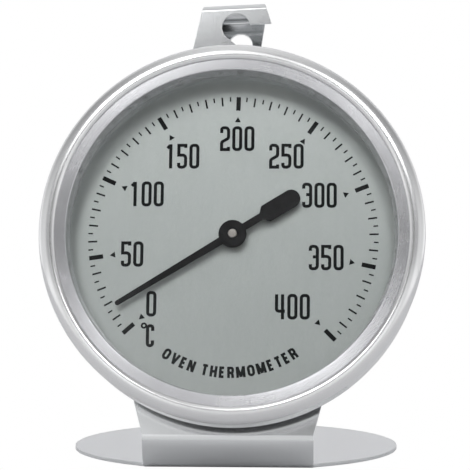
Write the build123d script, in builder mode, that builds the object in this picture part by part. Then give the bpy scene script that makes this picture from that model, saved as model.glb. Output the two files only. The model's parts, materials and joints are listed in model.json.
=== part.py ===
"""Oven thermometer: a bimetal dial thermometer in a case on a folded stand with a hook.

Millimetres, +Z up. The origin is the centre of the round foot, on the surface it stands on.
-Y is the front, and the case leans back.
"""
from build123d import *
from math import atan, cos, degrees, radians, sin, sqrt
import os

# --- Stand: one bent sheet ---
sheet = 0.6                    # thickness of the stand sheet
lean = 13.75                   # degrees that the face leans back
foot_radius = 28.25
strap_half_width = 13.95       # where the strap bends up from the foot
strap_flare = 0.27             # the strap widens by this for each mm of height, on each side
bend_radius = 4.8              # outside of the bend between foot and strap
plate_radius = 28.5            # round plate behind the case
strap_fillet = 5.0             # where the strap runs into the round plate
case_height = 36.5             # of the case's axis, where it crosses the front of the plate
case_shift = 0.8               # the case sits this far right of the strap's centreline

# --- Hook, folded back over the wire of an oven rack ---
neck_root = (0.1, 28.0)        # the hook's origin, from the case's axis
hook_skew = 2.8                # degrees that the hook is turned in its own plane
hook_height = 13.7             # from the neck root to the outside of the fold
hook_depth = 8.6               # outside to outside, front leaf to back leaf
hook_half_width = 5.2          # at the fold
neck_flare = 0.265             # widening of the front leaf for each mm downwards, each side
hook_bend = 1.2                # outside radius of the fold
neck_fillet = 3.0
neck_notch_side = 2.4          # how far the notch stays from the right edge at the neck root
neck_sink = 4.0                # the neck's straight edges run this far past its root
wire_hole = 2.4                # radius of the round cut-out in the front leaf
wire_drop = 4.15               # its centre, below the fold
wire_shift = 0.2               # and right of the hook's centreline
lip_rise = 0.4                 # the lip right of the cut-out ends this far above its centre
back_leaf_end = 5.0            # height of the back leaf's end above the neck root
back_leaf_half_width = 3.5     # at its end
back_arch = 2.0                # radius of the arch in the back leaf
back_arch_shift = (0.4, -0.75) # of its centre from the centre of the wire hole

# --- Case, from the front of the stand plate outwards along its axis ---
case_sheet = 0.5
flange_radius = 30.2           # outside of the cup's flange, which the bezel grips
flange_width = 2.4             # the drawn cup is this much smaller
cup_depth = 5.0                # to the front of the flange
cup_corner = 1.5
seat_margin = 1.2              # dial plate, spacer, gasket and glass stay this far inside the flange
dial_thickness = 0.4
spacer_height = 2.1
spacer_width = 2.4
gasket_thickness = 0.3
glass_thickness = 1.2
rim_clearance = 0.1            # between the flange and the inside of the bezel
bead_width = 0.2               # the bead stands out this much from the bezel's skirt
bezel_width = 2.65             # from the bead inwards to the flat trim ring
bezel_crest = 0.55             # height of the bezel's crest over the trim ring
curl_width = 0.75              # from the bezel's inner edge to its crest
shoulder_width = 0.9           # the shoulder ends this far inside the bead
shoulder_drop = 0.5            # and this far under the crest
shoulder_slope = (0.8, -0.6)   # direction of the section there
bead_drop = 1.5                # from the bezel's crest to the bead round its rim
tuck_drop = 1.2                # from the bead to the straight skirt
tuck_slope = (-0.2, -1)        # direction of the section there
crimp_width = 0.9              # width of the lip rolled under the flange
trim_sheet = 0.4
trim_width = 1.75              # of the flat trim ring that shows
trim_wall = 2.95               # height of its inner wall, from the glass to the flat
trim_taper = 0.4               # the wall leans inwards by this much
trim_lap = 0.95                # it runs this far out under the bezel

# --- Movement: bimetal coil, arbor and bearings ---
arbor_rise = 0.3               # the arbor stands this far above the case's axis
arbor_radius = 0.6
running_clearance = 0.03       # radial, between the arbor and its bushes
end_clearance = 0.05           # along the arbor
dial_hole_radius = 1.9
bush_flange_radius = 2.5
bush_shank_radius = 1.5
rear_bush_height = 1.1
bush_floor = 0.15
bridge_clearance = 0.4         # from the top of the bridge to the dial plate
bridge_sheet = 0.4
bridge_width = 6.0
bridge_half_span = 13.0
bridge_foot = 4.5
front_bush_proud = 0.25        # height of the front bush's flange over the bridge
collet_radius = 1.5
collet_gap = 0.25              # from the collet's ends to the two bushes
coil_gap = 0.02                # from the collet to the first turn, which is welded to it
coil_thickness = 0.3
coil_width = 2.0
coil_pitch = 1.1               # from one turn to the next
coil_half_turns = 13
post_radius = 0.85
post_margin = 0.25             # the coil's tail stands out of the post by this at both sides
post_tenon_radius = 0.6
pin_radius = 0.3
pin_head_radius = 0.55
pin_head = 0.3
pointer_gap = 1.5              # from the dial to the back of the pointer
boss_gap = 0.4                 # from the dial to the pointer boss
boss_radius = 1.5
pointer_thickness = 0.3
arbor_tip = 0.35               # head of the arbor in front of the pointer
arbor_tip_radius = 0.75
arbor_tip_round = 0.2

# --- Rivets ---
stand_rivet_radius = 1.5
stand_rivet_head = 2.6
stand_rivet_circle = 20.0
rivet_head_height = 0.7
rivet_head_round = 0.55
bridge_rivet_radius = 0.8
bridge_rivet_head = 1.5

# --- Pointer, from the arbor's axis ---
needle_length = 22.1
needle_width = 1.3             # at the hub
needle_tip_width = 0.8
hub_radius = 2.28
tail_neck = 5.5                # end of the narrow neck behind the hub
tail_neck_width = 1.2
tail_length = 12.6
tail_width = 2.95
tail_shoulder = 0.8
pointer_heading = 121.7        # degrees anticlockwise from straight up, seen from the front

# --- Places that follow from the sizes ---
foot_front = -sqrt(foot_radius**2 - strap_half_width**2)
bend_turn = 90 + lean
bend_end = (
    foot_front - bend_radius * sin(radians(bend_turn)),
    bend_radius - bend_radius * cos(radians(bend_turn)),
)
strap_length = (case_height - bend_end[1]) / cos(radians(lean))
face = Plane(
    origin=(case_shift, bend_end[0] + strap_length * sin(radians(lean)), case_height),
    x_dir=(1, 0, 0),
    z_dir=(0, -cos(radians(lean)), sin(radians(lean))),
)
case_axis = Axis(face.origin, face.z_dir)
case_section = Plane(origin=face.origin, x_dir=face.x_dir, z_dir=-face.y_dir)
arbor_face = Plane(face.location * Location((0, arbor_rise, 0)))
hook_face = Plane(face.location * Location((*neck_root, 0), (0, 0, hook_skew)))
hook_side = Plane(origin=hook_face.origin, x_dir=hook_face.y_dir, z_dir=hook_face.x_dir)
wire_centre = (wire_shift, hook_height - wire_drop)
neck_half_width = hook_half_width + neck_flare * hook_height
notch_start = (wire_centre[0] - wire_hole / 2, wire_centre[1] - wire_hole * sqrt(3) / 2)
notch_end = (neck_half_width - neck_notch_side, 0)

case_radius = flange_radius - flange_width
dial_radius = flange_radius - seat_margin
bezel_skirt = flange_radius + rim_clearance
skirt_radius = bezel_skirt + case_sheet
rim_radius = skirt_radius + bead_width
bezel_inner = rim_radius - bezel_width
trim_inner = bezel_inner - trim_width
trim_outer = bezel_inner + trim_lap

dial_back = cup_depth
dial_front = dial_back + dial_thickness
gasket_back = dial_front + spacer_height
glass_back = gasket_back + gasket_thickness
glass_front = glass_back + glass_thickness
trim_front = glass_front + trim_wall
crest = trim_front + bezel_crest
bead = crest - bead_drop
crimp_back = cup_depth - 2 * case_sheet
flange_back = cup_depth - case_sheet
ring_inner = dial_radius - spacer_width
trim_lip = trim_inner - trim_taper

rear_bush_front = rear_bush_height
bridge_front = dial_back - bridge_clearance
bridge_back = bridge_front - bridge_sheet
collet_back = rear_bush_front + collet_gap
collet_front = bridge_back - collet_gap
coil_back = (collet_back + collet_front - coil_width) / 2
coil_front = coil_back + coil_width
pointer_back = dial_front + pointer_gap
pointer_front = pointer_back + pointer_thickness
bore_radius = arbor_radius + running_clearance

coil_start = collet_radius + coil_gap + coil_thickness / 2
coil_end = coil_start + coil_half_turns * coil_pitch / 2
coil_tail = 2 * (post_radius + post_margin)
post_centre = (-coil_end, -coil_tail / 2)
pin_plane = Plane(
    origin=arbor_face.from_local_coords((*post_centre, (coil_back + coil_front) / 2)),
    x_dir=arbor_face.y_dir,
    z_dir=-arbor_face.x_dir,
)

stand_rivet_places = PolarLocations(stand_rivet_circle, 3, start_angle=90)
bridge_rivet_places = GridLocations(2 * bridge_half_span + bridge_foot, 1, 2, 1)


def turned(points):
    """A ring turned round the case's axis from its section: (radius, height) corners."""
    with BuildPart() as ring:
        with BuildSketch(case_section):
            with BuildLine():
                Polyline(*points, close=True)
            make_face()
        revolve(axis=case_axis)
    return ring


# --- Stand plate: hook ---
with BuildPart() as hook:
    with BuildSketch(hook_side):
        with BuildLine():
            outside = FilletPolyline(
                (0, 0), (hook_height, 0), (hook_height, -hook_depth), (back_leaf_end, -hook_depth),
                radius=hook_bend,
            )
            inside = FilletPolyline(
                (0, -sheet), (hook_height - sheet, -sheet),
                (hook_height - sheet, sheet - hook_depth), (back_leaf_end, sheet - hook_depth),
                radius=hook_bend - sheet,
            )
            Line(outside @ 0, inside @ 0)
            Line(outside @ 1, inside @ 1)
        make_face()
    extrude(amount=neck_half_width, both=True)

    with BuildSketch(hook_face.offset(-hook_depth)):
        Trapezoid(
            2 * neck_half_width, hook_height,
            90 - degrees(atan(neck_flare)), align=(Align.CENTER, Align.MIN),
        )
    extrude(amount=hook_depth, mode=Mode.INTERSECT)

    with BuildSketch(hook_face.offset(-sheet)):
        with Locations(wire_centre):
            Circle(wire_hole)
        with BuildLine():
            Polyline(
                (wire_centre[0], wire_centre[1] + lip_rise),
                (2 * hook_half_width, wire_centre[1] + lip_rise),
                (2 * hook_half_width, 0),
                notch_end,
                notch_start,
                close=True,
            )
        make_face()
    extrude(amount=sheet, mode=Mode.SUBTRACT)

    with BuildSketch(hook_face.offset(-hook_depth)):
        with BuildLine():
            Polyline(
                (hook_half_width, hook_height),
                (back_leaf_half_width, back_leaf_end),
                (2 * hook_half_width, back_leaf_end),
                (2 * hook_half_width, hook_height),
                close=True,
            )
        make_face()
        mirror(about=Plane.YZ)
        with Locations((wire_centre[0] + back_arch_shift[0], wire_centre[1] + back_arch_shift[1])):
            Circle(back_arch)
            Rectangle(2 * back_arch, hook_height, align=(Align.CENTER, Align.MAX))
    extrude(amount=hook_depth / 2, mode=Mode.SUBTRACT)

# --- Stand plate: foot, bend, strap and round plate ---
with BuildPart() as stand_plate:
    with BuildSketch():
        Circle(foot_radius)
        with Locations((0, foot_front)):
            Rectangle(2 * foot_radius, foot_radius, align=(Align.CENTER, Align.MAX), mode=Mode.SUBTRACT)
    extrude(amount=sheet)

    with BuildSketch(Plane.YZ):
        with BuildLine():
            outer_bend = CenterArc((foot_front, bend_radius), bend_radius, 270, -bend_turn)
            inner_bend = CenterArc((foot_front, bend_radius), bend_radius - sheet, 270, -bend_turn)
            Line(outer_bend @ 0, inner_bend @ 0)
            Line(outer_bend @ 1, inner_bend @ 1)
        make_face()
    extrude(amount=strap_half_width, both=True)

    strap_top = -plate_radius / 2
    strap_top_half = strap_half_width + strap_flare * (strap_length + strap_top)
    with BuildSketch(face.offset(-sheet)) as plate_outline:
        with BuildLine():
            Polyline(
                (-case_shift - strap_half_width, -strap_length),
                (-case_shift + strap_half_width, -strap_length),
                (-case_shift + strap_top_half, strap_top),
                (-case_shift - strap_top_half, strap_top),
                close=True,
            )
        make_face()
        with Locations(Location((*neck_root, 0), (0, 0, hook_skew))):
            with BuildLine():
                notch_slope = (notch_start[0] - notch_end[0]) / notch_start[1]
                Polyline(
                    (-neck_half_width - neck_flare * neck_sink, -neck_sink),
                    (-neck_half_width + neck_flare * neck_sink, neck_sink),
                    (notch_end[0] + notch_slope * neck_sink, neck_sink),
                    (notch_end[0] - notch_slope * neck_sink, -neck_sink),
                    close=True,
                )
            make_face()
        Circle(plate_radius)
        on_rim = plate_outline.vertices().filter_by(
            lambda corner: abs(Vector(corner).length - plate_radius) < 0.01
        )
        fillet(on_rim.filter_by(lambda corner: corner.Y < 0), strap_fillet)
        fillet(on_rim.filter_by(lambda corner: corner.Y > 0), neck_fillet)
        with stand_rivet_places:
            Circle(stand_rivet_radius, mode=Mode.SUBTRACT)
    extrude(amount=sheet)
    add(hook.part)

# --- Rivets that hold the case on the stand plate ---
with BuildPart() as stand_rivets:
    with BuildSketch(face.offset(-sheet)):
        with stand_rivet_places:
            Circle(stand_rivet_radius)
    extrude(amount=sheet + case_sheet)
    with BuildSketch(face.offset(case_sheet)):
        with stand_rivet_places:
            Circle(stand_rivet_head)
    extrude(amount=rivet_head_height)
    with BuildSketch(face.offset(-sheet)):
        with stand_rivet_places:
            Circle(stand_rivet_head)
    extrude(amount=-rivet_head_height)
    rims = stand_rivets.edges().filter_by(GeomType.CIRCLE).sort_by(case_axis)
    fillet(rims[:3] + rims[-3:], rivet_head_round)

# --- Case cup ---
with BuildPart() as case_cup:
    with BuildSketch(case_section):
        with BuildLine():
            outside = FilletPolyline(
                (0, 0), (case_radius, 0), (case_radius, flange_back),
                (flange_radius, flange_back), radius=cup_corner,
            )
            inside = FilletPolyline(
                (0, case_sheet), (case_radius - case_sheet, case_sheet),
                (case_radius - case_sheet, cup_depth), (flange_radius, cup_depth),
                radius=cup_corner - case_sheet,
            )
            Line(outside @ 0, inside @ 0)
            Line(outside @ 1, inside @ 1)
        make_face()
    revolve(axis=case_axis)
    with BuildSketch(face):
        with stand_rivet_places:
            Circle(stand_rivet_radius)
    extrude(amount=case_sheet, mode=Mode.SUBTRACT)
    with BuildSketch(arbor_face):
        Circle(bush_shank_radius)
        with bridge_rivet_places:
            Circle(bridge_rivet_radius)
        with Locations(post_centre):
            Circle(post_tenon_radius)
    extrude(amount=case_sheet, mode=Mode.SUBTRACT)

# --- Bezel: rolled ring, crimped under the flange of the cup ---
with BuildPart() as bezel_ring:
    with BuildSketch(case_section):
        with BuildLine():
            inner_curl = Spline(
                (bezel_inner, trim_front),
                (bezel_inner + curl_width, crest),
                tangents=((0, 1), (1, 0)),
            )
            shoulder = Spline(
                inner_curl @ 1,
                (rim_radius - shoulder_width, crest - shoulder_drop),
                tangents=((1, 0), shoulder_slope),
            )
            rim = Spline(
                shoulder @ 1,
                (rim_radius, bead),
                (skirt_radius, bead - tuck_drop),
                tangents=(shoulder_slope, tuck_slope),
            )
            Polyline(
                rim @ 1,
                (skirt_radius, crimp_back),
                (bezel_skirt - crimp_width, crimp_back),
                (bezel_skirt - crimp_width, flange_back),
                (bezel_skirt, flange_back),
                (bezel_skirt, trim_front - case_sheet),
                (trim_outer, trim_front),
                (bezel_inner, trim_front),
            )
        make_face()
    revolve(axis=case_axis)

# --- Trim ring: flat ring with a steep inner wall that stands on the glass ---
trim_ring = turned([
    (trim_lip, glass_front),
    (trim_lip + trim_sheet, glass_front),
    (trim_inner + trim_sheet, trim_front - trim_sheet),
    (trim_outer, trim_front - trim_sheet),
    (trim_outer, trim_front),
    (trim_inner, trim_front),
])

# --- Glass, its gasket, the spacer ring and the dial plate ---
glass_lens = turned([
    (0, glass_back), (dial_radius, glass_back), (dial_radius, glass_front), (0, glass_front),
])
glass_gasket = turned([
    (ring_inner, gasket_back), (dial_radius, gasket_back),
    (dial_radius, glass_back), (ring_inner, glass_back),
])
spacer_ring = turned([
    (ring_inner, dial_front), (dial_radius, dial_front),
    (dial_radius, gasket_back), (ring_inner, gasket_back),
])
with BuildPart() as dial_plate:
    with BuildSketch(face.offset(dial_back)):
        Circle(dial_radius)
        with Locations((0, arbor_rise)):
            Circle(dial_hole_radius, mode=Mode.SUBTRACT)
    extrude(amount=dial_thickness)

# --- Bearings ---
with BuildPart() as rear_bush:
    with BuildSketch(arbor_face):
        Circle(bush_shank_radius)
    extrude(amount=case_sheet)
    with BuildSketch(arbor_face.offset(case_sheet)):
        Circle(bush_flange_radius)
    extrude(amount=rear_bush_height - case_sheet)
    with BuildSketch(arbor_face.offset(bush_floor)):
        Circle(bore_radius)
    extrude(amount=rear_bush_height, mode=Mode.SUBTRACT)

with BuildPart() as front_bush:
    with BuildSketch(arbor_face.offset(bridge_back)):
        Circle(bush_shank_radius)
    extrude(amount=bridge_sheet)
    with BuildSketch(arbor_face.offset(bridge_front)):
        Circle(bush_flange_radius)
    extrude(amount=front_bush_proud)
    with BuildSketch(arbor_face.offset(bridge_back)):
        Circle(bore_radius)
    extrude(amount=bridge_sheet + front_bush_proud, mode=Mode.SUBTRACT)

# --- Movement bridge: a strip bent over the coil, with a foot at each end ---
arbor_section = Plane(origin=arbor_face.origin, x_dir=arbor_face.x_dir, z_dir=-arbor_face.y_dir)
foot_top = case_sheet + bridge_sheet
with BuildPart() as movement_bridge:
    with BuildSketch(arbor_section):
        with BuildLine():
            Polyline(
                (0, bridge_back), (bridge_half_span - bridge_sheet, bridge_back),
                (bridge_half_span - bridge_sheet, case_sheet),
                (bridge_half_span + bridge_foot, case_sheet),
                (bridge_half_span + bridge_foot, foot_top),
                (bridge_half_span, foot_top), (bridge_half_span, bridge_front),
                (0, bridge_front), close=True,
            )
        make_face()
        mirror(about=Plane.YZ)
    extrude(amount=bridge_width / 2, both=True)
    with BuildSketch(arbor_face):
        Circle(bush_shank_radius)
        with bridge_rivet_places:
            Circle(bridge_rivet_radius)
    extrude(amount=dial_back, mode=Mode.SUBTRACT)

with BuildPart() as bridge_rivets:
    with BuildSketch(arbor_face):
        with bridge_rivet_places:
            Circle(bridge_rivet_radius)
    extrude(amount=foot_top)
    with BuildSketch(arbor_face.offset(foot_top)):
        with bridge_rivet_places:
            Circle(bridge_rivet_head)
    extrude(amount=rivet_head_height)

# --- Bimetal coil: half circles about two centres, with a straight tail ---
with BuildPart() as bimetal_coil:
    with BuildSketch(arbor_face.offset(coil_back)):
        with BuildLine():
            half_step = coil_pitch / 2
            for turn in range(coil_half_turns):
                side = 1 if turn % 2 == 0 else -1
                middle = (-side * half_step / 2, 0)
                radius = coil_start + half_step * (turn + 0.5)
                start = 0 if side == 1 else 180
                outer_arc = CenterArc(middle, radius + coil_thickness / 2, start, 180)
                inner_arc = CenterArc(middle, radius - coil_thickness / 2, start, 180)
                if turn == 0:
                    Line(outer_arc @ 0, inner_arc @ 0)
            outer_end = outer_arc @ 1
            inner_end = inner_arc @ 1
            Polyline(outer_end, outer_end - (0, coil_tail), inner_end - (0, coil_tail), inner_end)
        make_face()
    extrude(amount=coil_width)
    with BuildSketch(pin_plane):
        Circle(pin_radius)
    extrude(amount=post_radius, both=True, mode=Mode.SUBTRACT)

with BuildPart() as coil_collet:
    with BuildSketch(arbor_face.offset(collet_back)):
        Circle(collet_radius)
        Circle(arbor_radius, mode=Mode.SUBTRACT)
    extrude(amount=collet_front - collet_back)

# --- Post and pin that hold the coil's outer end ---
with BuildPart() as coil_anchor_post:
    with BuildSketch(arbor_face):
        with Locations(post_centre):
            Circle(post_tenon_radius)
    extrude(amount=case_sheet)
    with BuildSketch(arbor_face.offset(case_sheet)):
        with Locations(post_centre):
            Circle(post_radius)
    extrude(amount=collet_front - case_sheet)
    with BuildSketch(arbor_face.offset(coil_back)):
        with Locations(post_centre):
            Rectangle(coil_thickness, 2 * coil_tail)
    extrude(amount=collet_front, mode=Mode.SUBTRACT)
    with BuildSketch(pin_plane):
        Circle(pin_radius)
    extrude(amount=post_radius, both=True, mode=Mode.SUBTRACT)

with BuildPart() as coil_end_pin:
    with BuildSketch(pin_plane):
        Circle(pin_radius)
    extrude(amount=post_radius, both=True)
    with BuildSketch(pin_plane.offset(post_radius)):
        Circle(pin_head_radius)
    extrude(amount=pin_head)

# --- Arbor, boss and pointer: they turn together ---
with BuildPart() as arbor:
    with BuildSketch(arbor_face.offset(bush_floor + end_clearance)):
        Circle(arbor_radius)
    extrude(amount=pointer_front - bush_floor - end_clearance)
    with BuildSketch(arbor_face.offset(pointer_front)):
        Circle(arbor_tip_radius)
    extrude(amount=arbor_tip)
    tip_rim = arbor.edges().filter_by(GeomType.CIRCLE).sort_by(case_axis)[-1]
    fillet(tip_rim, arbor_tip_round)

with BuildPart() as pointer_boss:
    with BuildSketch(arbor_face.offset(dial_front + boss_gap)):
        Circle(boss_radius)
        Circle(arbor_radius, mode=Mode.SUBTRACT)
    extrude(amount=pointer_gap - boss_gap)

pointer_plane = Plane(
    arbor_face.offset(pointer_back).location * Location((0, 0, 0), (0, 0, pointer_heading))
)
with BuildPart() as pointer:
    with BuildSketch(pointer_plane):
        Circle(hub_radius)
        with BuildLine():
            Line((-needle_width / 2, 0), (-needle_tip_width / 2, needle_length - needle_tip_width / 2))
            CenterArc((0, needle_length - needle_tip_width / 2), needle_tip_width / 2, 180, -180)
            Line((needle_tip_width / 2, needle_length - needle_tip_width / 2), (needle_width / 2, 0))
            Line((needle_width / 2, 0), (-needle_width / 2, 0))
        make_face()
        with BuildLine():
            blade_end = -tail_length + tail_width / 2
            Polyline(
                (-tail_width / 2, blade_end),
                (-tail_width / 2, -tail_neck - tail_shoulder),
                (-tail_neck_width / 2, -tail_neck),
                (-tail_neck_width / 2, 0),
                (tail_neck_width / 2, 0),
                (tail_neck_width / 2, -tail_neck),
                (tail_width / 2, -tail_neck - tail_shoulder),
                (tail_width / 2, blade_end),
            )
            CenterArc((0, blade_end), tail_width / 2, 0, -180)
        make_face()
        Circle(arbor_radius, mode=Mode.SUBTRACT)
    extrude(amount=pointer_thickness)

pieces = {
    "stand_plate": stand_plate,
    "stand_rivets": stand_rivets,
    "case_cup": case_cup,
    "bezel_ring": bezel_ring,
    "trim_ring": trim_ring,
    "glass_lens": glass_lens,
    "glass_gasket": glass_gasket,
    "spacer_ring": spacer_ring,
    "dial_plate": dial_plate,
    "rear_bush": rear_bush,
    "front_bush": front_bush,
    "movement_bridge": movement_bridge,
    "bridge_rivets": bridge_rivets,
    "bimetal_coil": bimetal_coil,
    "coil_collet": coil_collet,
    "coil_anchor_post": coil_anchor_post,
    "coil_end_pin": coil_end_pin,
    "arbor": arbor,
    "pointer_boss": pointer_boss,
    "pointer": pointer,
}
os.makedirs("parts", exist_ok=True)
for name, piece in pieces.items():
    piece.part.label = name
    export_step(piece.part, f"parts/{name}.step")
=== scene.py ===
# %% [markdown]
# # A stand-up oven thermometer
# The real object is a bimetal dial thermometer. A drawn steel case leans back on a bent sheet stand,
# a rolled bezel holds the glass, and a black pointer turns over a brushed dial.
#
# The CAD model already has every part in its place, so this lesson adds what CAD leaves out: the
# turned and brushed metal, the printed scale, the enamel, the glass, the light and the camera.

# %% Load the frame
import bpy
import bmesh
import json
from math import acos, cos, hypot, pi, radians, sin, tan
from mathutils import Matrix, Vector


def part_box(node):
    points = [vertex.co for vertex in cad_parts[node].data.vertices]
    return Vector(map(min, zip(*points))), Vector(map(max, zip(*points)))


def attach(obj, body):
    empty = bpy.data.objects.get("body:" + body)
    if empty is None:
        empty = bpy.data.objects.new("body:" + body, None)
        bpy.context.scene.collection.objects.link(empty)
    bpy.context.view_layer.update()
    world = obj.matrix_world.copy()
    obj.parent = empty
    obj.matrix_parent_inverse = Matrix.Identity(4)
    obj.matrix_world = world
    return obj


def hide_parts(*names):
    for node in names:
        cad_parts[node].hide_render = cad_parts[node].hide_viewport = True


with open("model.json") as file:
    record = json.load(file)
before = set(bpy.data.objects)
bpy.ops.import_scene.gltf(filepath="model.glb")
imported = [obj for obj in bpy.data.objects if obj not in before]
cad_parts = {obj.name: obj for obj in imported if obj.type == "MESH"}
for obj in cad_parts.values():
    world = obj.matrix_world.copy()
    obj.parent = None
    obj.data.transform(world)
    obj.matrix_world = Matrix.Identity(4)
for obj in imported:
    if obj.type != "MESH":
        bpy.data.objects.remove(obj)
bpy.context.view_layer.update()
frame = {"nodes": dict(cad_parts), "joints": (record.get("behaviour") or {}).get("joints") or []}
nodes = frame["nodes"]
mm = 0.001

# %% [markdown]
# ## The case's own axes
# Everything round is easiest to draw flat, as on a drawing board, and then to lay on the leaning
# face. The pointer's joint gives the lean: its axis runs straight back through the case. One matrix,
# `case`, takes a flat drawing (x right, y up, z out of the dial) to its place on the object.

# %% Find the case's axes
pointer_joint = frame["joints"][0]
face_out = -Vector(pointer_joint["axis"]).normalized()
face_right = Vector((1, 0, 0))
face_up = face_out.cross(face_right)


def middle(node):
    low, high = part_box(node)
    return (low + high) / 2


def placed(origin):
    """The matrix of the leaning face, with its zero at a point."""
    turn = Matrix((face_right, face_up, face_out)).transposed()
    return Matrix.Translation(origin) @ turn.to_4x4()


def span(node):
    """Smallest and largest radius and height of a node, in mm, about the case's axis."""
    flat = [case.inverted() @ v.co / mm for v in nodes[node].data.vertices]
    radii = [hypot(p.x, p.y) for p in flat]
    heights = [p.z for p in flat]
    return min(radii), max(radii), min(heights), max(heights)


case = placed(middle("dial_plate"))
dial_front = span("dial_plate")[3]
case = case @ Matrix.Translation((0, 0, dial_front * mm))
glass_front = span("glass_lens")[3]
trim_lip, trim_outer, trim_back, trim_front = span("trim_ring")
rim_radius, bezel_back, crest = span("bezel_ring")[1:]
pointer_back = span("pointer")[2]
arbor = case.inverted() @ Vector(pointer_joint["pos_m"]) / mm
print(f"over the dial: pointer {pointer_back:.2f}, glass {glass_front:.2f}, trim {trim_front:.2f}, "
      f"crest {crest:.2f} mm; the arbor stands {arbor.y:.2f} mm above the middle")

# %% [markdown]
# ## The camera
# The camera comes first, because it decides what has to be right. It stands a third of a metre in
# front with a long lens, a little to the right and just above the middle of the dial, and it looks
# almost level, which shows the foot as a thin oval. The plain Standard view keeps white paper white.

# %% Place the camera
aim = Vector((1.4, -33.0, 38.5)) * mm
camera_distance = 330 * mm
camera_azimuth = radians(2.75)
camera_height = 50.1 * mm
camera_data = bpy.data.cameras.new("camera")
camera_data.lens = 158.2
camera_data.sensor_width = 36
camera_data.clip_start = 0.01
camera = bpy.data.objects.new("camera", camera_data)
bpy.context.scene.collection.objects.link(camera)
camera.location = (
    aim.x + camera_distance * sin(camera_azimuth),
    aim.y - camera_distance * cos(camera_azimuth),
    camera_height,
)
camera.rotation_euler = (aim - camera.location).to_track_quat("-Z", "Y").to_euler()
bpy.context.scene.camera = camera
bpy.context.scene.view_settings.view_transform = "Standard"
print("camera", tuple(round(v, 3) for v in camera.location))

# %% [markdown]
# ## Small node helpers
# Materials and trees below are built with a few short functions, so that each recipe reads as a
# list of its nodes and links.

# %% Node helpers
def node(tree, kind, **values):
    """Add a node. Values name its properties, or its inputs by their name."""
    made = tree.nodes.new(kind)
    for name, value in values.items():
        if name in made.inputs:
            made.inputs[name].default_value = value
        else:
            setattr(made, name, value)
    return made


def math_node(tree, operation, a, b=None, c=None):
    """A Math node. Each operand is a socket or a number."""
    made = tree.nodes.new("ShaderNodeMath")
    made.operation = operation
    for slot, operand in zip(made.inputs, (a, b, c)):
        if operand is None:
            continue
        if isinstance(operand, (int, float)):
            slot.default_value = operand
        else:
            tree.links.new(operand, slot)
    return made.outputs[0]


def dot(tree, vector, direction):
    made = node(tree, "ShaderNodeVectorMath", operation="DOT_PRODUCT")
    tree.links.new(vector, made.inputs[0])
    made.inputs[1].default_value = direction
    return made.outputs["Value"]


def smooth_step(tree, value, low, high, start=0.0, end=1.0):
    made = node(tree, "ShaderNodeMapRange", interpolation_type="SMOOTHSTEP")
    tree.links.new(value, made.inputs["Value"])
    for name, number in (("From Min", low), ("From Max", high), ("To Min", start), ("To Max", end)):
        made.inputs[name].default_value = number
    return made.outputs["Result"]


# %% [markdown]
# ## Light
# Polished metal shows its surroundings more than itself, so the surroundings are designed first.
# A thermometer is usually lit inside a tent of white cloth and cards. The world shader draws such a
# tent about one direction, `mirrored`, which the flat face sends to the camera:
#
# - wide soft cards at the four sides, far out, which the rolled bezel shows
# - smaller, brighter cards on the diagonals, near the middle, which make the light and dark sectors
#   of the brushed trim
# - a strip above and a broad card below, for the hook and for the bend of the stand
# - a dark opening in the very middle, where the lens looks in, so that the glass and the print stay
#   clear of glare

# %% Draw the surroundings
mirrored = Vector((0, 1, 0)).reflect(face_out)
mirrored_up = mirrored.cross(face_right).normalized()
world = bpy.data.worlds.new("light_tent")
bpy.context.scene.world = world
world.use_nodes = True
tent = world.node_tree
tent.nodes.clear()
direction = node(tent, "ShaderNodeTexCoord").outputs["Generated"]
across = dot(tent, direction, face_right)
upward = dot(tent, direction, mirrored_up)
towards = dot(tent, direction, mirrored)
clock = math_node(tent, "ARCTAN2", across, upward)
four_waves = math_node(tent, "COSINE", math_node(tent, "MULTIPLY", clock, 4.0))
four_sides = math_node(tent, "MULTIPLY_ADD", four_waves, 0.5, 0.5)
diagonals = math_node(tent, "POWER", math_node(tent, "SUBTRACT", 1.0, four_sides), 2.2)


def away(tree, value, near, far, start=0.0, end=1.0):
    """A mask that changes between two angles, in degrees, from the mirrored direction."""
    return smooth_step(tree, value, cos(radians(near)), cos(radians(far)), start, end)


def above(tree, value, near, far, end):
    """A mask that grows between two heights, in degrees, over the mirrored direction."""
    return smooth_step(tree, value, sin(radians(near)), sin(radians(far)), 0.0, end)


def product(tree, *factors):
    made = factors[0]
    for factor in factors[1:]:
        made = math_node(tree, "MULTIPLY", made, factor)
    return made


def total(tree, *terms):
    made = terms[0]
    for term in terms[1:]:
        made = math_node(tree, "ADD", made, term)
    return made


far_card_light, near_card_light, cloth_light = 0.45, 6.5, 0.38
near_in = away(tent, towards, 26, 17)
far_cards = product(tent, four_sides, away(tent, towards, 28, 42), far_card_light)
upper = smooth_step(tent, upward, -0.06, 0.08, 0.12, 1.0)
near_cards = product(tent, diagonals, near_in, near_card_light, upper)
top_card = above(tent, upward, 3.2, 4.1, 0.62)
low_card = above(tent, upward, -4.5, -9, 0.42)
behind = smooth_step(tent, towards, 0.2, -0.4, 0.0, 0.5)
opening = away(tent, towards, 4.5, 12, 0.05, 1.0)
tent_light = total(tent, far_cards, near_cards, cloth_light, behind)
tent_light = total(tent, product(tent, tent_light, opening), product(tent, top_card, near_in), low_card)
print("tent faces", tuple(round(v, 2) for v in mirrored))

# %% [markdown]
# The camera sees a plain white wall instead of the tent, and every other ray sees the tent. A Light
# Path node tells the two kinds of ray apart.

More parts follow.
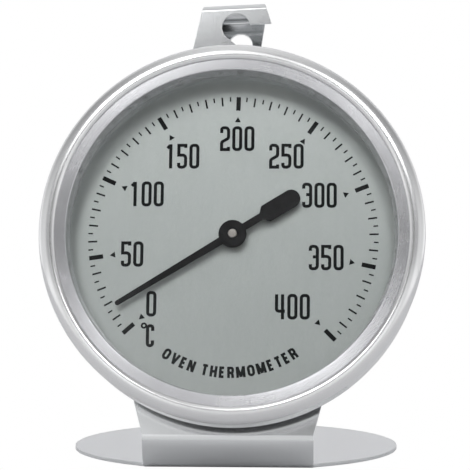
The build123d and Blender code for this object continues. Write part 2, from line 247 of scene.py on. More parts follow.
# %% Show white behind the object
tent_shade = node(tent, "ShaderNodeBackground", Color=(0.985, 0.99, 1.0, 1))
tent.links.new(tent_light, tent_shade.inputs["Strength"])
white_wall = node(tent, "ShaderNodeBackground", Color=(1, 1, 1, 1), Strength=1.0)
ray = node(tent, "ShaderNodeLightPath")
pick = node(tent, "ShaderNodeMixShader")
tent.links.new(ray.outputs["Is Camera Ray"], pick.inputs[0])
tent.links.new(tent_shade.outputs[0], pick.inputs[1])
tent.links.new(white_wall.outputs[0], pick.inputs[2])
tent.links.new(pick.outputs[0], node(tent, "ShaderNodeOutputWorld").inputs["Surface"])
print("world", len(tent.nodes), "nodes")


# %% [markdown]
# One weak square lamp above and a little to the left gives the shadows their direction: the rim's on
# the top of the dial, and the pointer's, just below the pointer. It hangs away from the mirrored
# direction, so the glass doesn't show it.

# %% Hang the key lamp
def lamp(name, azimuth, elevation, distance, size, watts):
    data = bpy.data.lights.new(name, "AREA")
    data.size = size
    data.energy = watts
    made = bpy.data.objects.new(name, data)
    bpy.context.scene.collection.objects.link(made)
    flat = distance * cos(radians(elevation))
    made.location = aim + Vector((
        flat * sin(radians(azimuth)), -flat * cos(radians(azimuth)), distance * sin(radians(elevation))
    ))
    made.rotation_euler = (aim - made.location).to_track_quat("-Z", "Y").to_euler()
    return made


key = lamp("key_lamp", azimuth=-14, elevation=50, distance=0.6, size=0.18, watts=0.12)
print("key lamp", tuple(round(v, 2) for v in key.location))

# %% [markdown]
# ## The floor
# A sheet of white paper curves up behind the object, so there is no edge between floor and wall.

# %% Curve the paper
def new_object(name, bm, material=None, smooth=True):
    """Turn a bmesh into an object, with its normals out."""
    bmesh.ops.recalc_face_normals(bm, faces=bm.faces)
    mesh = bpy.data.meshes.new(name)
    bm.to_mesh(mesh)
    bm.free()
    made = bpy.data.objects.new(name, mesh)
    bpy.context.scene.collection.objects.link(made)
    for face in mesh.polygons:
        face.use_smooth = smooth
    if material:
        mesh.materials.append(material)
    return made


def new_material(name):
    """A material with a Principled shader, its tree and the shader node."""
    made = bpy.data.materials.new(name)
    made.use_nodes = True
    shader = made.node_tree.nodes["Principled BSDF"]
    return made, made.node_tree, shader


paper, tree, shader = new_material("white_paper")
shader.inputs["Base Color"].default_value = (0.86, 0.86, 0.87, 1)
shader.inputs["Roughness"].default_value = 0.9
glow = node(tree, "ShaderNodeEmission", Strength=1.0)
camera_ray = node(tree, "ShaderNodeLightPath")
blend_in = node(tree, "ShaderNodeMixShader")
tree.links.new(camera_ray.outputs["Is Camera Ray"], blend_in.inputs[0])
tree.links.new(shader.outputs[0], blend_in.inputs[1])
tree.links.new(glow.outputs[0], blend_in.inputs[2])
tree.links.new(blend_in.outputs[0], tree.nodes["Material Output"].inputs["Surface"])

sheet_width, sheet_front, sheet_back, sheet_top, sweep = 2.4, -1.2, 0.7, 1.4, 0.3
bm = bmesh.new()
line = [(sheet_front, 0.0), (sheet_back, 0.0)]
bend_steps = 12
bends = [pi / 2 * k / bend_steps for k in range(1, bend_steps + 1)]
line += [(sheet_back + sweep * sin(a), sweep - sweep * cos(a)) for a in bends]
line.append((sheet_back + sweep, sheet_top))
rows = [[bm.verts.new((side * sheet_width / 2, y, z)) for side in (-1, 1)] for y, z in line]
for near, far in zip(rows, rows[1:]):
    bm.faces.new((near[0], near[1], far[1], far[0]))
floor = new_object("paper_sweep", bm, paper)
print("floor", len(floor.data.polygons), "faces")

# %% [markdown]
# ## Putting a piece in its place
# Every new piece is finished the same way: its shape is written into its mesh, it rides on a body,
# and it may stand for a CAD node, which is then hidden.

# %% Piece helpers
board = case @ Matrix.Scale(mm, 4)


def settle(piece, body, slot, *replaced, place=None):
    """Write the place into the mesh, hang the piece on its body and hide the CAD nodes it replaces."""
    if place:
        piece.data.transform(place)
    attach(piece, body)
    if replaced:
        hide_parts(*replaced)
    print(piece.name, len(piece.data.polygons), "faces, rides on", body)
    return piece


def smoothed(name, source, material, angle=35, bevel=0.0):
    """A copy of a CAD node with its triangles joined, its flats whole and its edges eased."""
    bm = bmesh.new()
    bm.from_mesh(nodes[source].data)
    bmesh.ops.remove_doubles(bm, verts=bm.verts, dist=0.001 * mm)
    bmesh.ops.dissolve_limit(bm, angle_limit=radians(0.2), verts=bm.verts, edges=bm.edges)
    made = new_object(name, bm, material)
    if bevel:
        ease = made.modifiers.new("ease", "BEVEL")
        ease.width = bevel * mm
        ease.segments = 2
        ease.limit_method = "ANGLE"
        ease.angle_limit = radians(angle)
        ease.use_clamp_overlap = True
        applied(made)
    made.data.set_sharp_from_angle(angle=radians(angle))
    flats = made.modifiers.new("flats", "WEIGHTED_NORMAL")
    flats.keep_sharp = True
    flats.weight = 100
    return applied(made)


def applied(piece):
    """Make the result of a piece's modifiers its own mesh."""
    seen = piece.evaluated_get(bpy.context.evaluated_depsgraph_get())
    mesh = bpy.data.meshes.new_from_object(seen)
    piece.modifiers.clear()
    piece.data = mesh
    return piece


# %% [markdown]
# ## Metal recipes
# Three effects are shared by the metals, so each is a node group built once. `turned_grain` draws the
# fine rings that polishing leaves on a spun part. `straight_grain` draws the lines of brushed sheet.
# `handling` is the uneven haze that ovens and fingers leave. Each group gives out masks only.

# %% Shared effects
def new_group(name, inputs, outputs):
    """A shader node group with number or vector inputs, and number outputs."""
    group = bpy.data.node_groups.new(name, "ShaderNodeTree")
    for label, value in inputs.items():
        kind = "NodeSocketVector" if value == "vector" else "NodeSocketFloat"
        socket = group.interface.new_socket(label, in_out="INPUT", socket_type=kind)
        if value != "vector":
            socket.default_value = value
    for label in outputs:
        group.interface.new_socket(label, in_out="OUTPUT", socket_type="NodeSocketFloat")
    return group, group.nodes.new("NodeGroupInput"), group.nodes.new("NodeGroupOutput")


def combine(tree, x, y, z):
    made = tree.nodes.new("ShaderNodeCombineXYZ")
    for slot, operand in zip(made.inputs, (x, y, z)):
        if isinstance(operand, (int, float)):
            slot.default_value = operand
        else:
            tree.links.new(operand, slot)
    return made.outputs[0]


def noise(tree, vector, scale, detail=3.0, roughness=0.55):
    made = node(tree, "ShaderNodeTexNoise", Scale=scale, Detail=detail, Roughness=roughness)
    tree.links.new(vector, made.inputs["Vector"])
    return made.outputs["Fac"]


turned_grain, given, result = new_group(
    "turned_grain", {"Polar": "vector", "Rings": 9.0, "Streaks": 1.5}, ("Lines", "Drift"))
part = node(turned_grain, "ShaderNodeSeparateXYZ")
turned_grain.links.new(given.outputs["Polar"], part.inputs[0])
turn = math_node(turned_grain, "MULTIPLY", part.outputs["X"], 2 * pi)
streaks = given.outputs["Streaks"]
east = math_node(turned_grain, "MULTIPLY", math_node(turned_grain, "COSINE", turn), streaks)
north = math_node(turned_grain, "MULTIPLY", math_node(turned_grain, "SINE", turn), streaks)
along = math_node(turned_grain, "MULTIPLY", part.outputs["Y"], given.outputs["Rings"])
fine = noise(turned_grain, combine(turned_grain, east, north, along), 1.0, 4.0, 0.7)
slow = noise(turned_grain, combine(turned_grain, east, north, 0.0), 0.6, 2.0)
turned_grain.links.new(fine, result.inputs["Lines"])
turned_grain.links.new(slow, result.inputs["Drift"])

straight_grain, given, result = new_group(
    "straight_grain", {"Place": "vector", "Fineness": 22.0, "Stretch": 0.012}, ("Lines", "Bands"))
part = node(straight_grain, "ShaderNodeSeparateXYZ")
straight_grain.links.new(given.outputs["Place"], part.inputs[0])
side = math_node(straight_grain, "MULTIPLY", part.outputs["X"], given.outputs["Fineness"])
length = math_node(straight_grain, "MULTIPLY", part.outputs["Y"], given.outputs["Fineness"])
length = math_node(straight_grain, "MULTIPLY", length, given.outputs["Stretch"])
across_lines = combine(straight_grain, side, length, part.outputs["Z"])
straight_grain.links.new(noise(straight_grain, across_lines, 1.0, 5.0, 0.75), result.inputs["Lines"])
straight_grain.links.new(noise(straight_grain, across_lines, 0.11, 3.0, 0.6), result.inputs["Bands"])

handling, given, result = new_group("handling", {"Place": "vector", "Size": 0.12}, ("Haze",))
scaled = node(handling, "ShaderNodeVectorMath", operation="SCALE")
handling.links.new(given.outputs["Place"], scaled.inputs[0])
handling.links.new(given.outputs["Size"], scaled.inputs["Scale"])
haze = smooth_step(handling, noise(handling, scaled.outputs[0], 1.0, 4.0, 0.6), 0.35, 0.7)
handling.links.new(haze, result.inputs["Haze"])
print("groups", turned_grain.name, straight_grain.name, handling.name)


# %% [markdown]
# A material places these groups with its own values. `grain_space` turns the object's coordinates,
# which are metres, into millimetres on the leaning face, so that grain runs straight up the dial.
# A turned piece's material reads its own map instead, which runs round it and along its profile.

# %% Material helpers
def grain_space(tree):
    """Object coordinates in mm, laid on the leaning face."""
    lay = node(tree, "ShaderNodeMapping", vector_type="TEXTURE")
    lay.inputs["Location"].default_value = case.translation
    lay.inputs["Rotation"].default_value = case.to_euler()
    lay.inputs["Scale"].default_value = (mm, mm, mm)
    tree.links.new(node(tree, "ShaderNodeTexCoord").outputs["Object"], lay.inputs["Vector"])
    return lay.outputs[0]


def use_group(tree, group, inputs, **values):
    """Place a group, with the vector it reads and its own values."""
    made = tree.nodes.new("ShaderNodeGroup")
    made.node_tree = group
    tree.links.new(inputs, made.inputs[0])
    for label, value in values.items():
        made.inputs[label].default_value = value
    return made


def blend_colour(tree, factor, low, high):
    made = node(tree, "ShaderNodeMix", data_type="RGBA")
    tree.links.new(factor, made.inputs[0])
    made.inputs["A"].default_value = (*low, 1)
    made.inputs["B"].default_value = (*high, 1)
    return made.outputs["Result"]


def ramp(tree, value, low, high):
    """Stretch a mask from 0..1 to low..high."""
    made = node(tree, "ShaderNodeMapRange")
    tree.links.new(value, made.inputs["Value"])
    made.inputs["To Min"].default_value = low
    made.inputs["To Max"].default_value = high
    return made.outputs["Result"]


def bump(tree, shader, height, distance):
    made = node(tree, "ShaderNodeBump", Distance=distance * mm)
    tree.links.new(height, made.inputs["Height"])
    tree.links.new(made.outputs[0], shader.inputs["Normal"])


def turned_steel(name, dark, light, roughness, anisotropy, rings=9.0, depth=0.004):
    """Steel polished on a lathe: rings round the piece, and highlights drawn out across them."""
    made, tree, shader = new_material(name)
    polar = node(tree, "ShaderNodeUVMap", uv_map="polar").outputs[0]
    grain = use_group(tree, turned_grain, polar, Rings=rings)
    wear = use_group(tree, handling, grain_space(tree))
    shader.inputs["Metallic"].default_value = 1.0
    shader.inputs["Anisotropic"].default_value = anisotropy
    shader.inputs["Anisotropic Rotation"].default_value = 0.25
    tangent = node(tree, "ShaderNodeTangent", direction_type="UV_MAP", uv_map="polar")
    tree.links.new(tangent.outputs[0], shader.inputs["Tangent"])
    tree.links.new(blend_colour(tree, grain.outputs["Drift"], dark, light), shader.inputs["Base Color"])
    satin = ramp(tree, wear.outputs["Haze"], roughness * 0.94, roughness * 1.06)
    fine_satin = math_node(tree, "MULTIPLY_ADD", grain.outputs["Lines"], 0.05, satin)
    tree.links.new(fine_satin, shader.inputs["Roughness"])
    bump(tree, shader, grain.outputs["Lines"], depth)
    return made


def sheet_steel(name, dark, light, roughness, fineness=16.0, stretch=0.02, depth=0.003):
    """Rolled or brushed sheet: straight lines, slow bands and a little haze."""
    made, tree, shader = new_material(name)
    place = grain_space(tree)
    grain = use_group(tree, straight_grain, place, Fineness=fineness, Stretch=stretch)
    wear = use_group(tree, handling, place)
    shader.inputs["Metallic"].default_value = 1.0
    mixed = math_node(tree, "MULTIPLY_ADD", grain.outputs["Bands"], 0.2,
                      math_node(tree, "MULTIPLY", grain.outputs["Lines"], 0.8))
    tree.links.new(blend_colour(tree, mixed, dark, light), shader.inputs["Base Color"])
    satin = ramp(tree, wear.outputs["Haze"], roughness * 0.96, roughness * 1.04)
    fine_satin = math_node(tree, "MULTIPLY_ADD", grain.outputs["Lines"], 0.1, satin)
    tree.links.new(fine_satin, shader.inputs["Roughness"])
    bump(tree, shader, grain.outputs["Lines"], depth)
    return made


bezel_steel = turned_steel("polished_bezel_steel", (0.74, 0.74, 0.745), (0.82, 0.82, 0.82), 0.18, 0.6)
trim_steel = turned_steel("satin_trim_steel", (0.57, 0.57, 0.585), (0.64, 0.64, 0.655), 0.24, 0.8,
                          rings=14.0)
stand_steel = sheet_steel("bright_stand_steel", (0.68, 0.69, 0.695), (0.75, 0.76, 0.765), 0.05)
case_steel = sheet_steel("drawn_case_steel", (0.52, 0.53, 0.55), (0.64, 0.65, 0.67), 0.3)
dial_steel = sheet_steel("brushed_dial_plate", (0.5, 0.535, 0.517), (0.82, 0.873, 0.846), 0.35,
                         fineness=7.0, stretch=0.16, depth=0.008)
print("first metals", [m.name for m in (bezel_steel, trim_steel, stand_steel, case_steel, dial_steel)])

# %% [markdown]
# ## Turned rings
# The bezel and the trim are round, so each is a profile turned about the case's axis. A polar map
# comes with the mesh: u goes once round, v is the distance along the profile in mm. The turned grain
# and the direction of the highlights both follow that map.

# %% A lathe
def arc(centre, radii, start, stop, steps):
    """Points on an ellipse, from one angle to another, in degrees."""
    turns = [radians(start + (stop - start) * k / steps) for k in range(steps + 1)]
    return [(centre[0] + radii[0] * cos(t), centre[1] + radii[1] * sin(t)) for t in turns]


def turned_piece(name, outline, material, segments=256, corner=35):
    """Turn a closed outline of (radius, height), in mm, about the axis."""
    bm = bmesh.new()
    uv = bm.loops.layers.uv.new("polar")
    rings = [[bm.verts.new((r * sin(a), r * cos(a), z)) for a in
              (2 * pi * k / segments for k in range(segments))] for r, z in outline]
    runs = [0.0]
    for (r0, z0), (r1, z1) in zip(outline, outline[1:] + outline[:1]):
        runs.append(runs[-1] + hypot(r1 - r0, z1 - z0))
    for i in range(len(outline)):
        near, far = rings[i], rings[(i + 1) % len(outline)]
        for k in range(segments):
            after = (k + 1) % segments
            face = bm.faces.new((near[k], near[after], far[after], far[k]))
            marks = ((k, runs[i]), (k + 1, runs[i]), (k + 1, runs[i + 1]), (k, runs[i + 1]))
            for loop, (step, run) in zip(face.loops, marks):
                loop[uv].uv = (step / segments, run)
    made = new_object(name, bm, material)
    made.data.set_sharp_from_angle(angle=radians(corner))
    return made


# %% [markdown]
# ### The bezel
# A strip rolled into a ring and crimped under the case's flange. Outside it is a soft quarter-round
# with a bead at the widest place. Inside it curls down to the flat trim, with a fine dark gap between.

# %% Turn the bezel
rolled_sheet = 0.5
skirt_inner = 30.3
crimp_inner = skirt_inner - 0.9
inner_edge = 28.35
curl = 0.75
shoulder = 1.5
bead = 0.3
bead_height = 1.2
bezel_outline = (
    [(inner_edge, trim_front)]
    + arc((inner_edge + curl, trim_front), (curl, crest - trim_front), 170, 90, 8)
    + arc((inner_edge + curl, crest - shoulder), (rim_radius - inner_edge - curl, shoulder), 84, 0, 16)
    + arc((rim_radius - bead, crest - shoulder), (bead, bead_height), -15, -90, 6)
    + [
        (skirt_inner + rolled_sheet, bezel_back), (crimp_inner, bezel_back),
        (crimp_inner, bezel_back + rolled_sheet), (skirt_inner, bezel_back + rolled_sheet),
        (skirt_inner, trim_front - rolled_sheet), (trim_outer, trim_front),
    ]
)
bezel = turned_piece("rolled_bezel", bezel_outline, bezel_steel)
settle(bezel, "housing", "bezel_steel", "bezel_ring", place=board)

# %% [markdown]
# ### The trim ring
# A flat ring with a steep inner wall that stands on the glass. Its folded corner is slightly round,
# which is what draws the thin bright line between flat and wall.

# %% Turn the trim
wall_top = 26.6
fold = 0.18
lip = 0.14
trim_sheet = 0.4
trim_outline = (
    arc((trim_lip + lip, trim_back + lip), (lip, lip), 260, 190, 4)
    + [(wall_top - 0.02, trim_front - fold)]
    + arc((wall_top + fold, trim_front - fold), (fold, fold), 160, 90, 5)
    + [
        (trim_outer, trim_front), (trim_outer, trim_front - trim_sheet),
        (wall_top + trim_sheet, trim_front - trim_sheet), (trim_lip + trim_sheet, trim_back),
    ]
)
trim = turned_piece("flat_trim", trim_outline, trim_steel)
settle(trim, "housing", "trim_steel", "trim_ring", place=board)

# %% [markdown]
# ## The stand, the case and other sheet parts
# Their CAD shapes are right, but CAD triangles shade flat, so each gets a copy with its triangles
# joined.
# The stand's copy also has its edges eased by a small bevel, which catches light along the cut edges, as
# sheet steel does.

# %% Ease the sheet parts
stand = smoothed("folded_stand", "stand_plate", stand_steel, bevel=0.07)
settle(stand, "housing", "stand_steel", "stand_plate")
cup = smoothed("drawn_case", "case_cup", case_steel)
settle(cup, "housing", "case_steel", "case_cup")

# %% [markdown]
# ## The pointer
# Stamped sheet, dipped in black enamel. The enamel rounds every edge, so the copy gets a wider bevel
# for its thickness, and the paint has a faint orange-peel surface.

# %% Enamel the pointer
enamel, tree, shader = new_material("black_enamel")
place = grain_space(tree)
wear = use_group(tree, handling, place, Size=0.6)
tree.links.new(blend_colour(tree, wear.outputs["Haze"], (0.004, 0.004, 0.005), (0.012, 0.012, 0.013)),
               shader.inputs["Base Color"])
tree.links.new(ramp(tree, wear.outputs["Haze"], 0.34, 0.5), shader.inputs["Roughness"])
shader.inputs["Specular IOR Level"].default_value = 0.35
bump(tree, shader, noise(tree, place, 3.0, 2.0), 0.01)
pointer = smoothed("enamelled_pointer", "pointer", enamel, bevel=0.06)
settle(pointer, "pointer_spindle", "pointer_black", "pointer")

# %% [markdown]
# ## The glass
# Plain float glass. Light passes it on the way to the dial, so it is clear to shadow rays. To the
# eye it is real glass that bends and reflects.

# %% Fit the glass
window, tree, shader = new_material("window_glass")
shader.inputs["Transmission Weight"].default_value = 1.0
shader.inputs["IOR"].default_value = 1.5
shader.inputs["Metallic"].default_value = 0.0
shader.inputs["Roughness"].default_value = 0.0
shader.inputs["Specular IOR Level"].default_value = 0.2
clear = node(tree, "ShaderNodeBsdfTransparent")
rays = node(tree, "ShaderNodeLightPath")
passes = math_node(tree, "MAXIMUM", rays.outputs["Is Shadow Ray"], rays.outputs["Is Diffuse Ray"])
choose = node(tree, "ShaderNodeMixShader")
tree.links.new(passes, choose.inputs[0])
tree.links.new(shader.outputs[0], choose.inputs[1])
tree.links.new(clear.outputs[0], choose.inputs[2])
tree.links.new(choose.outputs[0], tree.nodes["Material Output"].inputs["Surface"])


def finish(source, material):
    """Give a CAD node a new finish."""
    mesh = nodes[source].data
    mesh.materials.clear()
    mesh.materials.append(material)


finish("glass_lens", window)
finish("dial_plate", dial_steel)
print("glass and dial finished")

# %% [markdown]
# ## The scale
# The scale is screen-printed, so each mark is a film of ink on the dial. All marks of one kind are the
# same shape repeated round a circle, which is work for Geometry Nodes: the tree takes one drawn mark,
# and repeats it in groups. Short marks come every 5 degrees Celsius, middle ones every 10, long ones
# and little arrowheads every 50.

# %% Repeat a mark round a circle
ink_depth = 0.02


def slab(name, outlines):
    """Flat outlines, in mm, made into closed solids that stand on the dial."""
    bm = bmesh.new()
    for outline in outlines:
        low = [bm.verts.new((x, y, 0.0)) for x, y in outline]
        high = [bm.verts.new((x, y, ink_depth)) for x, y in outline]
        bm.faces.new(low)
        bm.faces.new(high)
        for k in range(len(outline)):
            j = (k + 1) % len(outline)
            bm.faces.new((low[k], low[j], high[j], high[k]))
    return new_object(name, bm, smooth=False)


marks_round = bpy.data.node_groups.new("marks_round_a_circle", "GeometryNodeTree")
face_of = marks_round.interface
face_of.new_socket("Geometry", in_out="INPUT", socket_type="NodeSocketGeometry")
for label, kind, value in (
    ("Groups", "NodeSocketInt", 9), ("Marks in Group", "NodeSocketInt", 1),
    ("First Angle", "NodeSocketFloat", 0.0), ("Group Step", "NodeSocketFloat", 0.5),
    ("Mark Step", "NodeSocketFloat", 0.1), ("Radius", "NodeSocketFloat", 20.0),
):
    face_of.new_socket(label, in_out="INPUT", socket_type=kind).default_value = value
face_of.new_socket("Ink", in_out="INPUT", socket_type="NodeSocketMaterial")
face_of.new_socket("Geometry", in_out="OUTPUT", socket_type="NodeSocketGeometry")
given = marks_round.nodes.new("NodeGroupInput")
result = marks_round.nodes.new("NodeGroupOutput")
count = math_node(marks_round, "MULTIPLY", given.outputs["Groups"], given.outputs["Marks in Group"])
points = marks_round.nodes.new("GeometryNodePoints")
index = marks_round.nodes.new("GeometryNodeInputIndex").outputs[0]
group_number = math_node(
    marks_round, "FLOOR", math_node(marks_round, "DIVIDE", index, given.outputs["Marks in Group"]))
in_group = math_node(marks_round, "MODULO", index, given.outputs["Marks in Group"])
angle = math_node(
    marks_round, "MULTIPLY_ADD", group_number, given.outputs["Group Step"], given.outputs["First Angle"])
angle = math_node(marks_round, "MULTIPLY_ADD", in_group, given.outputs["Mark Step"], angle)
spot = combine(
    marks_round,
    math_node(marks_round, "MULTIPLY", math_node(marks_round, "SINE", angle), given.outputs["Radius"]),
    math_node(marks_round, "MULTIPLY", math_node(marks_round, "COSINE", angle), given.outputs["Radius"]),
    0.0,
)
facing = combine(marks_round, 0.0, 0.0, math_node(marks_round, "MULTIPLY", angle, -1.0))
repeat = marks_round.nodes.new("GeometryNodeInstanceOnPoints")
realize = marks_round.nodes.new("GeometryNodeRealizeInstances")
paint = marks_round.nodes.new("GeometryNodeSetMaterial")
for source, target in (
    (count, points.inputs["Count"]), (spot, points.inputs["Position"]),
    (points.outputs[0], repeat.inputs["Points"]), (given.outputs["Geometry"], repeat.inputs["Instance"]),
    (facing, repeat.inputs["Rotation"]), (repeat.outputs[0], realize.inputs[0]),
    (realize.outputs[0], paint.inputs["Geometry"]), (given.outputs["Ink"], paint.inputs["Material"]),
    (paint.outputs[0], result.inputs[0]),
):
    marks_round.links.new(source, target)


def repeated(mark, material, groups, first, group_step, radius, in_group=1, mark_step=0.0):
    """Repeat a drawn mark round a circle. Angles are in degrees, clockwise from straight up."""
    made = mark.modifiers.new("repeat", "NODES")
    made.node_group = marks_round
    values = {
        "Groups": groups, "Marks in Group": in_group, "First Angle": radians(first),
        "Group Step": radians(group_step), "Mark Step": radians(mark_step), "Radius": float(radius),
        "Ink": material,
    }
    for item in face_of.items_tree:
        if item.in_out == "INPUT" and item.name in values:
            made[item.identifier] = values[item.name]
    return applied(mark)


print("inputs", [item.name for item in face_of.items_tree if item.in_out == "INPUT"])

# %% [markdown]
# Printing ink is black, but thin: its colour varies a little, and the brushed metal under it shows in
# its surface as fine lines.

# %% Print the marks
ink, tree, shader = new_material("printed_ink")
place = grain_space(tree)
grain = use_group(tree, straight_grain, place, Fineness=9.0, Stretch=0.02)
tree.links.new(blend_colour(tree, grain.outputs["Lines"], (0.004, 0.005, 0.005), (0.014, 0.015, 0.016)),
               shader.inputs["Base Color"])
tree.links.new(ramp(tree, grain.outputs["Lines"], 0.5, 0.7), shader.inputs["Roughness"])
shader.inputs["Specular IOR Level"].default_value = 0.25
bump(tree, shader, grain.outputs["Lines"], 0.004)

zero_at = -131.9        # degrees clockwise from straight up
per_fifty = 33.4        # degrees of arc for 50 degrees Celsius
marks_circle = 23.65    # mm, where the marks hang from
arrows_circle = 19.8


def bar(width, length):
    """A mark that hangs inwards from the circle it stands on."""
    return [(-width / 2, -length), (width / 2, -length), (width / 2, 0), (-width / 2, 0)]


per_ten = per_fifty / 5
arrowhead = [(-0.5, -0.42), (0.5, -0.42), (0.0, 0.45)]
fives = repeated(
    slab("scale_marks_5", [bar(0.23, 0.78)]), ink, 40, zero_at + per_ten / 2, per_ten, marks_circle)
tens = repeated(
    slab("scale_marks_10", [bar(0.28, 1.5)]), ink, 8, zero_at + per_ten, per_fifty, marks_circle,
    in_group=4, mark_step=per_ten)
fifties = repeated(
    slab("scale_marks_50", [bar(0.72, 2.3)]), ink, 9, zero_at, per_fifty, marks_circle)
arrows = repeated(slab("scale_arrows", [arrowhead]), ink, 9, zero_at, per_fifty, arrows_circle)
for marks in (fives, tens, fifties, arrows):
    settle(marks, "housing", "pointer_black", place=board)

# %% [markdown]
# ### Numerals
# The numerals are tall and narrow, drawn with a pen of even width and rounded turns. Each one is a few
# strokes in a box one unit wide and one high. A stroke is its centre line with its corners rounded,
# widened to both sides.

# %% Draw with an even pen
def rounded(points, radii, closed=False, steps=5):
    """Cut each corner of a line with an arc. One radius for each point, 0 keeps it sharp."""
    points = [Vector(p) for p in points]
    line = []
    for k, (p, r) in enumerate(zip(points, radii)):
        if r == 0 or (not closed and k in (0, len(points) - 1)):
            line.append(p)
            continue
        before = (points[k - 1] - p).normalized()
        after = (points[(k + 1) % len(points)] - p).normalized()
        half = acos(max(-1, min(1, before.dot(after)))) / 2
        reach = r / tan(half)
        centre = p + (before + after).normalized() * (r / sin(half))
        start, stop = p + before * reach - centre, p + after * reach - centre
        total = start.angle_signed(stop)
        line += [centre + Matrix.Rotation(-total * j / steps, 2) @ start for j in range(steps + 1)]
    return line


def stroke(line, width, closed=False):
    """Quads along a line, with mitred joints."""
    sides = []
    for k, p in enumerate(line):
        before = (p - line[k - 1]).normalized() if closed or k else None
        after = (line[(k + 1) % len(line)] - p).normalized() if closed or k < len(line) - 1 else None
        before, after = before or after, after or before
        along = (before + after).normalized()
        mitre = width / 2 / max(0.5, along.dot(after))
        out = Vector((-along.y, along.x)) * mitre
        sides.append((p + out, p - out))
    pairs = zip(sides, sides[1:] + sides[:1]) if closed else zip(sides, sides[1:])
    return [[a[0], a[1], b[1], b[0]] for a, b in pairs]


def strip(name, quads):
    """Join a stroke's quads and give them thickness."""
    bm = bmesh.new()
    for quad in quads:
        bm.faces.new([bm.verts.new((p[0], p[1], 0.0)) for p in quad])
    bmesh.ops.remove_doubles(bm, verts=bm.verts, dist=1e-5)
    bmesh.ops.recalc_face_normals(bm, faces=bm.faces)
    if bm.faces[:][0].normal.z > 0:
        bmesh.ops.reverse_faces(bm, faces=bm.faces)
    raised = bmesh.ops.extrude_face_region(bm, geom=bm.faces)["geom"]
    for v in raised:
        if isinstance(v, bmesh.types.BMVert):
            v.co.z += ink_depth
    return new_object(name, bm, ink, smooth=False)


# Each stroke: its points, the radius at each, and whether it closes. Radii are parts of the width.
glyphs = {
    "0": [([(0, 0), (1, 0), (1, 1), (0, 1)], (0.4, 0.4, 0.4, 0.4), True)],
    "1": [([(0.12, 0.86), (0.5, 1.0)], (0, 0), False), ([(0.6, 1.05), (0.6, -0.06)], (0, 0), False)],
    "2": [([(0, 0.76), (0, 1), (1, 1), (1, 0.52), (0, 0.34), (0, 0), (1, 0), (1, 0.12)],
           (0, 0.3, 0.45, 0.4, 0.4, 0, 0, 0), False)],
    "3": [([(0, 0.8), (0, 1), (1, 1), (1, 0), (0, 0), (0, 0.2)], (0, 0.3, 0.45, 0.45, 0.3, 0), False),
          ([(0.95, 0.53), (0.35, 0.53)], (0, 0), False)],
    "4": [([(0, 1.05), (0, 0.3), (1.2, 0.3)], (0, 0.35, 0), False),
          ([(0.86, 1.05), (0.86, -0.06)], (0, 0), False)],
    "5": [([(1, 0.88), (1, 1), (0, 1), (0, 0.55), (1, 0.55), (1, 0), (0, 0), (0, 0.2)],
           (0, 0, 0, 0, 0.45, 0.45, 0.3, 0), False)],
    "C": [([(1, 0.74), (1, 1), (0, 1), (0, 0), (1, 0), (1, 0.26)],
           (0, 0.45, 0.45, 0.45, 0.45, 0), False)],
}
pen = 0.52


def drawn(glyph, middle_at, width, height, pen=pen):
    """The quads of one glyph, centred on a point."""
    box = Vector((width - pen, height - pen))
    quads = []
    for points, radii, closed in glyphs[glyph]:
        spots = [Vector(((x - 0.5) * box.x, (y - 0.5) * box.y)) for x, y in points]
        line = rounded(spots, [r * box.x for r in radii], closed)
        quads += [[p + Vector(middle_at) for p in quad] for quad in stroke(line, pen, closed)]
    return quads


def number(text, middle_at, height=4.2, width=1.65, pitch=2.0):
    quads = []
    for k, glyph in enumerate(text):
        shift = (k - (len(text) - 1) / 2) * pitch
        quads += drawn(glyph, (middle_at[0] + shift, middle_at[1]), width, height)
    return settle(strip(f"number_{text}", quads), "housing", "pointer_black", place=board)


# %% [markdown]
# The numerals stand upright. Their places are set one by one, as a sign painter would, to look evenly
# spaced inside the arrowheads.

# %% Print the numerals
spread = 1.024


def spot_at(x, y):
    """A place on the dial. One factor spreads all the numerals out from the middle."""
    return (x * spread, y * spread)


for text, spot in {
    "0": (-12.8, -10.7), "50": (-16.0, -2.7), "100": (-13.9, 7.1), "150": (-8.3, 13.3),
    "200": (0.5, 16.2), "250": (8.4, 13.3), "300": (13.7, 6.9), "350": (14.8, -3.2), "400": (9.5, -11.1),
}.items():
    number(text, spot_at(*spot))
ring = [Vector((0.36 * cos(radians(a)), 0.36 * sin(radians(a)))) for a in range(0, 360, 20)]
degree_spot = Vector(spot_at(-13.9, -14.2))
degree_sign = [[p + degree_spot for p in quad] for quad in stroke(ring, 0.3, True)]
settle(strip("degree_sign", degree_sign), "housing", "pointer_black", place=board)
letter_c = drawn("C", spot_at(-12.9, -15.8), 1.35, 3.75)
settle(strip("celsius_sign", letter_c), "housing", "pointer_black", place=board)

# %% [markdown]
# ### The words on the arc
# The name of the object runs along the bottom in bold, narrow capitals. They are drawn with the same
# pen as the numerals. Each letter stands square on its own radius of an arc that is tighter than the
# scale, so the letters are laid out by their widths and then spread to fill it.

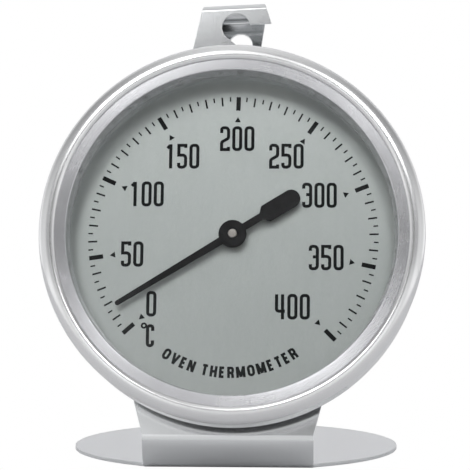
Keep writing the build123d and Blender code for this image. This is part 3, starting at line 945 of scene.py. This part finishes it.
# %% Print the words
glyphs.update({
    "O": [([(0, 0), (1, 0), (1, 1), (0, 1)], (0.5, 0.5, 0.5, 0.5), True)],
    "V": [([(0, 1.12), (0.5, -0.12)], (0, 0), False), ([(0.5, -0.12), (1, 1.12)], (0, 0), False)],
    "E": [([(1, 1), (0, 1), (0, 0), (1, 0)], (0, 0, 0, 0), False),
          ([(0, 0.5), (0.9, 0.5)], (0, 0), False)],
    "N": [([(0, -0.12), (0, 1.12)], (0, 0), False), ([(1, -0.12), (1, 1.12)], (0, 0), False),
          ([(0, 1.1), (1, -0.1)], (0, 0), False)],
    "T": [([(-0.1, 1), (1.1, 1)], (0, 0), False), ([(0.5, 1), (0.5, -0.12)], (0, 0), False)],
    "H": [([(0, 1.12), (0, -0.12)], (0, 0), False), ([(1, 1.12), (1, -0.12)], (0, 0), False),
          ([(0, 0.5), (1, 0.5)], (0, 0), False)],
    "R": [([(0, -0.12), (0, 1), (1, 1), (1, 0.46), (0, 0.46)], (0, 0, 0.4, 0.4, 0), False),
          ([(0.5, 0.46), (0.95, 0.3), (1, -0.12)], (0, 0.25, 0), False)],
    "M": [([(0, -0.12), (0, 1.12)], (0, 0), False), ([(1, -0.12), (1, 1.12)], (0, 0), False),
          ([(0.04, 1.1), (0.5, -0.05)], (0, 0), False), ([(0.5, -0.05), (0.96, 1.1)], (0, 0), False)],
})
letter_widths = {
    "O": 1.2, "V": 1.3, "E": 1.0, "N": 1.2, "T": 1.1, "H": 1.15, "R": 1.1, "M": 1.5, " ": 0.45,
}
letter_height = 1.88
letter_pen = 0.43
arc_centre = Vector((-0.38, -3.5))
arc_radius = 18.6


def words_on_arc(words, start, stop):
    """Quads of upright words along the bottom of an arc, between two angles about straight down."""
    room = radians(stop - start) * arc_radius
    gap = (room - sum(letter_widths[c] for c in words)) / (len(words) - 1)
    quads = []
    run = 0.0
    for c in words:
        if c != " ":
            lean = radians(start) + (run + letter_widths[c] / 2) / arc_radius
            spot = arc_centre + Vector((sin(lean), -cos(lean))) * arc_radius
            turn = Matrix.Rotation(lean, 2)
            flat = drawn(c, (0, 0), letter_widths[c], letter_height, letter_pen)
            quads += [[turn @ point + spot for point in quad] for quad in flat]
        run += letter_widths[c] + gap
    print(f"{words}: gap between letters {gap:.2f} mm")
    return quads


words = strip("dial_words", words_on_arc("OVEN THERMOMETER", -34.6, 35.2))
settle(words, "housing", "pointer_black", place=board)

# %% [markdown]
# ## Finishes inside the case
# The movement is hidden, but it is seen when the case is opened or cut. Each part gets the metal it
# is made of: yellow brass bushes, a bimetal strip with its straw-coloured heat tint, a bright arbor.

# %% Finish the movement
def plain_metal(name, dark, light, roughness, fineness=12.0):
    return sheet_steel(name, dark, light, roughness, fineness=fineness, stretch=0.3, depth=0.004)


brass = plain_metal("bush_brass", (0.62, 0.44, 0.2), (0.78, 0.58, 0.3), 0.25)
bimetal = plain_metal("heat_tinted_bimetal", (0.48, 0.4, 0.3), (0.66, 0.58, 0.46), 0.32)
arbor_steel = plain_metal("ground_arbor_steel", (0.5, 0.48, 0.44), (0.66, 0.63, 0.58), 0.3)
spacer = plain_metal("spacer_aluminium", (0.6, 0.61, 0.62), (0.74, 0.75, 0.76), 0.4)
rivet_steel = plain_metal("rivet_steel", (0.5, 0.5, 0.52), (0.66, 0.66, 0.68), 0.3)
fibre, tree, shader = new_material("gasket_fibre")
place = grain_space(tree)
felt = noise(tree, place, 6.0, 6.0, 0.8)
felt_colour = blend_colour(tree, felt, (0.42, 0.4, 0.35), (0.7, 0.68, 0.6))
tree.links.new(felt_colour, shader.inputs["Base Color"])
shader.inputs["Roughness"].default_value = 0.95
bump(tree, shader, felt, 0.05)

for name, source, body, slot, material in (
    ("ground_arbor", "arbor", "pointer_spindle", "arbor_steel", arbor_steel),
    ("closed_rivets", "stand_rivets", "housing", "rivet_steel", rivet_steel),
    ("pressed_spacer", "spacer_ring", "housing", "spacer_aluminium", spacer),
):
    settle(smoothed(name, source, material), body, slot, source)

for source, material in {
    "rear_bush": brass, "front_bush": brass, "pointer_boss": brass, "coil_collet": brass,
    "bimetal_coil": bimetal, "coil_anchor_post": brass, "coil_end_pin": arbor_steel,
    "movement_bridge": case_steel, "bridge_rivets": rivet_steel, "glass_gasket": fibre,
}.items():
    finish(source, material)
print("finished the movement; the frame has", len(nodes), "nodes")
